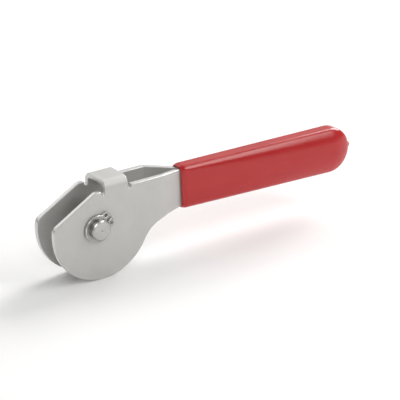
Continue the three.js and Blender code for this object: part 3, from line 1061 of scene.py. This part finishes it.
    def lean(self, points: Array) -> Array:
        """Leans the mouth, so that its lower edge stands back from its upper edge.

        Formula: x + lean times the share of the way down, fading with the distance from the mouth.

        Args:
            points: (..., 3) places.

        Returns:
            The moved places.
        """
        height = self.top_at_mouth - self.bottom_at_mouth
        down = np.clip((self.top_at_mouth - points[..., 2]) / height, 0, 1)
        near = np.clip(1 - (points[..., 0] - self.mouth_x) / self.mouth_lean_fade, 0, 1.1)
        moved = points.copy()
        moved[..., 0] += self.mouth_lean * down * near
        return moved

    def taper(self, points: Array) -> Array:
        """Thins the sleeve towards its mouth, in a quarter ellipse.

        Formula: drawn in by taper (1 - sqrt(1 - (1 - u)^2)), with u the distance from the mouth over the run.

        Args:
            points: (..., 3) places.

        Returns:
            The moved places.
        """
        u = np.clip((points[..., 0] - self.mouth_x - self.wall / 2) / self.mouth_taper_run, 0, 1)
        draw = self.mouth_taper * (1 - np.sqrt(1 - (1 - u) ** 2))
        middle = (self.top_at_mouth + self.bottom_at_mouth) / 2
        half_height = (self.top_at_mouth - self.bottom_at_mouth) / 2
        drawn = points.copy()
        drawn[..., 1] *= 1 - draw / (self.rim_flat_at_mouth + self.corner)
        drawn[..., 2] = middle + (points[..., 2] - middle) * (1 - draw / half_height)
        return drawn

    def build(self) -> Piece:
        """Builds the sleeve and dresses it.

        Formula of the lip: half of the sum of the walls' mouths, plus half of their difference times cos a,
        less half of the wall along X times sin a, for a from 0 to a half turn.

        Returns:
            The piece.
        """
        outer = self.taper(self.slab(0.0, self.corner, self.shoulder_angle))
        inner = self.slab(-self.wall, self.corner - self.wall, 0.0)
        skin = Skin()
        skin.grid(self.lean(self.drip(outer)))
        skin.grid(self.lean(inner[:, ::-1]))
        a = np.linspace(0, math.pi, 9)[:, None, None]
        for row in (0, -1):
            wall_out, wall_in = outer[row][None], inner[row][None]
            lip = (wall_out + wall_in) / 2 + (wall_out - wall_in) / 2 * np.cos(a)
            lip[..., 0] -= self.wall / 2 * np.sin(a[..., 0])
            skin.grid(self.lean(lip if row else lip[::-1]), rim=1.0)
        return self.frame.fit(skin, "handle_grip_skin", "head", "red_vinyl", RED_VINYL.material())


# ---- axle and wheel


class Side(Enum):
    """The two sides of the head, by the sign of Y."""

    FRONT = -1
    REAR = 1

    def piece(self, stem: str) -> str:
        """The name of this side's copy of a piece."""
        return f"{stem}_{self.name.lower()}_skin"


@dataclass
class TurnedAssembly:
    """Pieces turned about the axle's axis."""

    frame: Frame

    def turned(self, name: str, body: str, slot: str, finish: MetalFinish, corners: list[Corner],
               closed: bool = True, rows: int = 120) -> Piece:
        """Turns a path of rounded corners into a piece and dresses it.

        Args:
            name: the piece's name.
            body: the body it rides on.
            slot: the record's material slot.
            finish: its finish.
            corners: radius, place along the axis and rounding of each corner.
            closed: whether the last corner runs on to the first, as round a bore.
            rows: steps round the turn.

        Returns:
            The piece.
        """
        path = rounded_path(corners, closed)
        if closed:
            path = np.concatenate([path, path[:1]])
        skin = turned_skin(fine(path), self.frame.axle_centre, rows)
        return self.frame.fit(skin, name, body, slot, finish.material(self.frame.axis_point))


@dataclass
class Axle(TurnedAssembly):
    """The turned pin, the two retaining rings in its grooves and the two spacer sleeves."""

    pin_radius: float = 5.0
    pin_half: float = 12.6
    pin_chamfer: float = 0.65
    pin_break: float = 0.12
    mark_radius: float = 0.5
    mark_depth: float = 0.4
    groove_radius: float = 4.5
    groove: Pair = (8.8, 10.0)
    ring_thickness: float = 1.0
    ring_start: float = 8.9
    ring_inner: float = 4.6
    ring_outer: float = 6.8
    ring_eccentricity: float = 0.3
    ring_gap: float = 1.0
    ring_gap_angle: float = 34.0
    ring_edge: float = 0.24
    lug_radius: float = 8.7
    lug_hole_radius: float = 0.85
    lug_hole_circle: float = 7.0
    lug_hole_angle: float = 22.0
    lug_fillet: float = 0.8
    sleeve_inner: float = 5.1
    sleeve_outer: float = 5.8
    sleeve_span: Pair = (3.6, 5.7)
    sleeve_break: float = 0.1

    def pin(self) -> Piece:
        """The pin: chamfered at both ends, with a centre mark and a groove for each ring.

        Returns:
            The piece.
        """
        edge, (start, end) = self.pin_break, self.groove
        half = [
            (self.pin_radius, start, edge), (self.groove_radius, start, edge),
            (self.groove_radius, end, edge), (self.pin_radius, end, edge),
            (self.pin_radius, self.pin_half - self.pin_chamfer, edge),
            (self.pin_radius - self.pin_chamfer, self.pin_half, edge),
            (self.mark_radius, self.pin_half, edge),
            (0.0, self.pin_half - self.mark_depth, 0.0),
        ]
        other = [(radius, -y, turn) for radius, y, turn in half][::-1]
        return self.turned(
            "axle_pin_skin", "axle", "turned_steel", TURNED_STEEL, [*other, *half], closed=False)

    def ring_outline(self) -> Array:
        """A retaining ring's outline with its gap on +X.

        Formula: outer and inner circles with centres apart by the eccentricity, cut by the gap's straight
        sides, with a lug each side of it.

        Returns:
            One point per row.
        """
        gap, reach = self.ring_gap / 2, self.lug_radius
        hole = self.lug_hole_angle
        root = self.ring_outer - self.ring_eccentricity + 0.05
        foot_x, foot_z = polar(self.ring_outer, first := 48.0)
        upper = rounded_path([
            (math.sqrt(self.ring_inner**2 - gap**2), gap, 0.15), (math.sqrt(reach**2 - gap**2), gap, 0.35),
            (*polar(reach, hole / 2), 0.0), (*polar(reach, hole + 6), self.lug_fillet),
            (*polar(root, hole + 16), 0.7), (foot_x - self.ring_eccentricity, foot_z, 0.0)])
        outer = arc((-self.ring_eccentricity, 0), self.ring_outer, first, 360 - first)[1:-1]
        lower = upper[::-1] * [1, -1]
        start = math.degrees(math.asin(gap / self.ring_inner)) + 3
        inner = arc((0, 0), self.ring_inner, 360 - start, start)
        return thinned(np.concatenate([upper, outer, lower, inner]))

    def ring(self, side: Side) -> Piece:
        """A retaining ring.

        Args:
            side: the plate it lies on.

        Returns:
            The piece.
        """
        turn = math.radians(self.ring_gap_angle)
        spin = np.array([[math.cos(turn), math.sin(turn)], [-math.sin(turn), math.cos(turn)]])
        holes = [arc(polar(self.lug_hole_circle, angle), self.lug_hole_radius, 360, 0, 15)[:-1] @ spin
                 for angle in (self.lug_hole_angle, -self.lug_hole_angle)]
        edge = EdgeRound(self.ring_thickness, self.ring_edge, 3, 0.06)

        def place(flat: Array) -> Array:
            """Sets the flat ring on its side of the head: (x - ahead, side times (start + depth), z)."""
            away = side.value * (self.ring_start + flat[:, 2])
            return np.column_stack([flat[:, 0] - self.frame.axle_ahead, away, flat[:, 1]])

        skin = plate_skin(self.ring_outline() @ spin, holes, edge, place, [])
        steel = SPRING_STEEL.material(self.frame.axis_point)
        return self.frame.fit(skin, side.piece("retaining_ring"), "axle", "spring_steel", steel)

    def sleeve(self, side: Side) -> Piece:
        """A spacer sleeve between a bush and a plate."""
        (start, end), edge = (side.value * y for y in self.sleeve_span), self.sleeve_break
        return self.turned(side.piece("spacer_sleeve"), "axle", "turned_steel", TURNED_STEEL, [
            (self.sleeve_inner, start, edge), (self.sleeve_outer, start, edge),
            (self.sleeve_outer, end, edge), (self.sleeve_inner, end, edge)])

    def build(self) -> list[Piece]:
        """Builds everything that turns with the pin."""
        return [self.pin(), *map(self.ring, Side), *map(self.sleeve, Side)]


@dataclass
class Wheel(TurnedAssembly):
    """The cutting wheel and the flanged bush pressed into each of its sides."""

    radius: float = 10.0
    width: float = 4.0
    land: float = 0.2
    bevel: float = 1.6
    bore: float = 6.6
    bush_inner: float = 5.1
    bush_outer: float = 6.3
    flange_radius: float = 7.2
    bush_span: tuple[float, float, float] = (0.15, 2.3, 3.3)

    def disc(self) -> Piece:
        """The wheel: flat flanks, and a V edge ground down to a narrow land."""
        flank, land, shoulder = self.width / 2, self.land / 2, self.radius - self.bevel
        return self.turned("cutter_wheel_skin", "wheel", "hardened_steel", TOOL_STEEL, [
            (self.bore, -flank, 0.15), (shoulder, -flank, 0.2), (self.radius, -land, 0.05),
            (self.radius, land, 0.05), (shoulder, flank, 0.2), (self.bore, flank, 0.15)], rows=160)

    def bush(self, side: Side) -> Piece:
        """A flanged bush."""
        start, flange, end = (side.value * y for y in self.bush_span)
        return self.turned(side.piece("wheel_bush"), "wheel", "bush_bronze", BRONZE, [
            (self.bush_inner, start, 0.1), (self.bush_outer, start, 0.1), (self.bush_outer, flange, 0.1),
            (self.flange_radius, flange, 0.12), (self.flange_radius, end, 0.2), (self.bush_inner, end, 0.12)])

    def build(self) -> list[Piece]:
        """Builds everything that turns with the wheel."""
        return [self.disc(), *map(self.bush, Side)]


# ---- studio


@dataclass(frozen=True)
class SoftBox:
    """A soft light: where it stands, its width along the handle, its height and how bright its face looks."""

    name: str
    place: Place
    width: float
    height: float
    brightness: float
    colour: Colour = (1.0, 1.0, 1.0)

    def build(self, aim: Vector) -> Piece:
        """Makes the light, facing its aim with its width level.

        Formula: a face of area w h that looks as bright as b gives off b times pi w h watts.

        Args:
            aim: the point it faces.

        Returns:
            The light.
        """
        light = bpy.data.lights.new(self.name, "AREA")
        light.shape = "RECTANGLE"
        light.size = self.width
        light.size_y = self.height
        light.energy = self.brightness * math.pi * self.width * self.height
        light.color = self.colour
        lamp = linked(self.name, light)
        lamp.location = self.place
        back = (Vector(self.place) - aim).normalized()
        across = (Vector((1, 0, 0)) - back * back.x).normalized()
        lamp.rotation_euler = Matrix((across, back.cross(across), back)).transposed().to_euler()
        return lamp


@dataclass
class Studio:
    """A pale floor, soft boxes, a dim room and the camera."""

    floor_width: float = 12.0
    floor_tone: Colour = (0.96, 0.96, 0.96)
    floor_roughness: float = 0.9
    room_tone: Colour = (0.26, 0.26, 0.265)
    aim: Place = (0, 0, 0.02)
    camera_place: Place = (-0.51088, -0.70862, 0.39244)
    camera_way: Place = (0.53655, 0.74751, -0.39159)
    lens: float = 180.0
    film_width: float = 36.0
    boxes: tuple[SoftBox, ...] = (
        SoftBox("key_box", (1.28, 0.45, 0.85), 0.75, 0.75, 11.0, WARM_WHITE),
        SoftBox("strip_box", (0.81, -0.86, 0.92), 0.35, 1.25, 6.4, WARM_WHITE),
        SoftBox("fill_box", (0.80, 0.72, 1.05), 0.8, 0.8, 0.6, WARM_WHITE),
        SoftBox("camera_box", (-0.74, -1.0, 0.95), 0.75, 0.5, 3.2, WARM_WHITE),
        SoftBox("ceiling_box", (-0.2, 0.0, 2.0), 3.2, 3.2, 0.1),
        SoftBox("rear_box", (-0.55, 1.5, 1.3), 2.3, 1.0, 1.05, WARM_WHITE),
        SoftBox("back_box", (0.8, 2.0, 0.85), 2.8, 1.8, 0.45, WARM_WHITE),
    )

    def build(self) -> None:
        """Builds the floor, the lights, the room and the camera."""
        half = self.floor_width / 2
        mesh = bpy.data.meshes.new("floor")
        corners = [(-half, -half, 0), (half, -half, 0), (half, half, 0), (-half, half, 0)]
        mesh.from_pydata(corners, [], [(0, 1, 2, 3)])
        floor = linked("floor", mesh)
        nodes = Nodes("pale_floor")
        nodes.put(nodes.shader, {
            "Base Color": (*self.floor_tone, 1), "Roughness": self.floor_roughness,
            "Specular IOR Level": 0.0})
        mesh.materials.append(nodes.material)
        floor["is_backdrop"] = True
        for box in self.boxes:
            box.build(Vector(self.aim))
        world = bpy.data.worlds.new("room")
        world.use_nodes = True
        world.node_tree.nodes["Background"].inputs["Color"].default_value = (*self.room_tone, 1)
        bpy.context.scene.world = world
        self.camera()
        bpy.context.scene.view_settings.view_transform = "Standard"
        LOG.info("studio: floor, %d soft boxes and the camera", len(self.boxes))

    def camera(self) -> None:
        """Sets up the camera at its place, looking its way with its top up."""
        data = bpy.data.cameras.new("camera")
        data.lens = self.lens
        data.sensor_width = self.film_width
        data.clip_start = 0.05
        data.clip_end = 50.0
        camera = linked("camera", data)
        camera.location = self.camera_place
        camera.rotation_euler = Vector(self.camera_way).to_track_quat("-Z", "Y").to_euler()
        bpy.context.scene.camera = camera


def main() -> None:
    """Builds the can opener piece by piece, then the studio round it."""
    logging.basicConfig(level=logging.INFO, format="%(name)s: %(message)s")
    frame = Frame()
    HeadYoke(frame).build()
    DippedGrip(frame).build()
    for assembly in (Axle(frame), Wheel(frame)):
        made = assembly.build()
        LOG.info("%s: %d pieces", type(assembly).__name__, len(made))
    Studio().build()
    frame.write_sizes()


if __name__ == "__main__":
    main()
